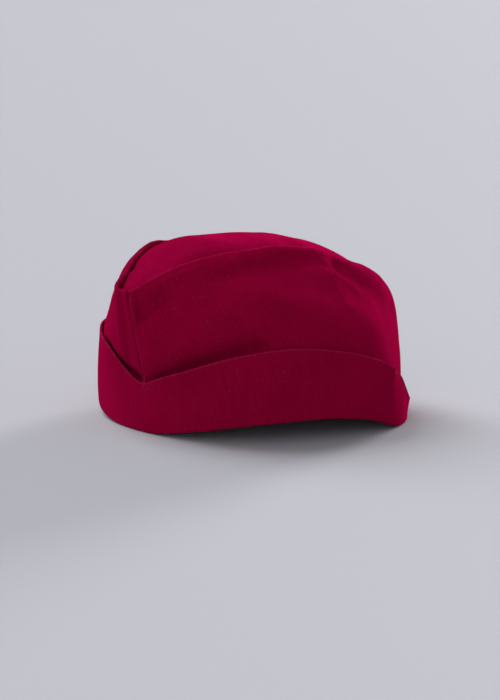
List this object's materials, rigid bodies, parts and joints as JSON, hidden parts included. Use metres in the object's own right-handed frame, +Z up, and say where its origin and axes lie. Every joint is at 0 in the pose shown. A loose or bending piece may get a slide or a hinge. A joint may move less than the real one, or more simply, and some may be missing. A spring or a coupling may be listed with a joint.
{
  "type": "butcher cap",
  "caption": "Soft boat-shaped cloth cap with a long sunk top panel between ridge seams and a turned-up cuff that dips at the front.",
  "frame": {"origin": "on the surface that the cap rests on, under the middle of its length and width", "axes": "+Z up, -Y to the front of the cap, +X to the wearer's left"},
  "size_m": [0.1643, 0.2289, 0.1151],
  "materials": {
    "crown_cloth": "fine cotton twill, deep crimson, soft sheen",
    "cuff_cloth": "the same twill, doubled, with a stitched edge"
  },
  "bodies": {
    "root": {"top_panel": "crown_cloth", "side_panel_left": "crown_cloth", "side_panel_right": "crown_cloth", "cuff": "cuff_cloth"}
  },
  "joints": []
}
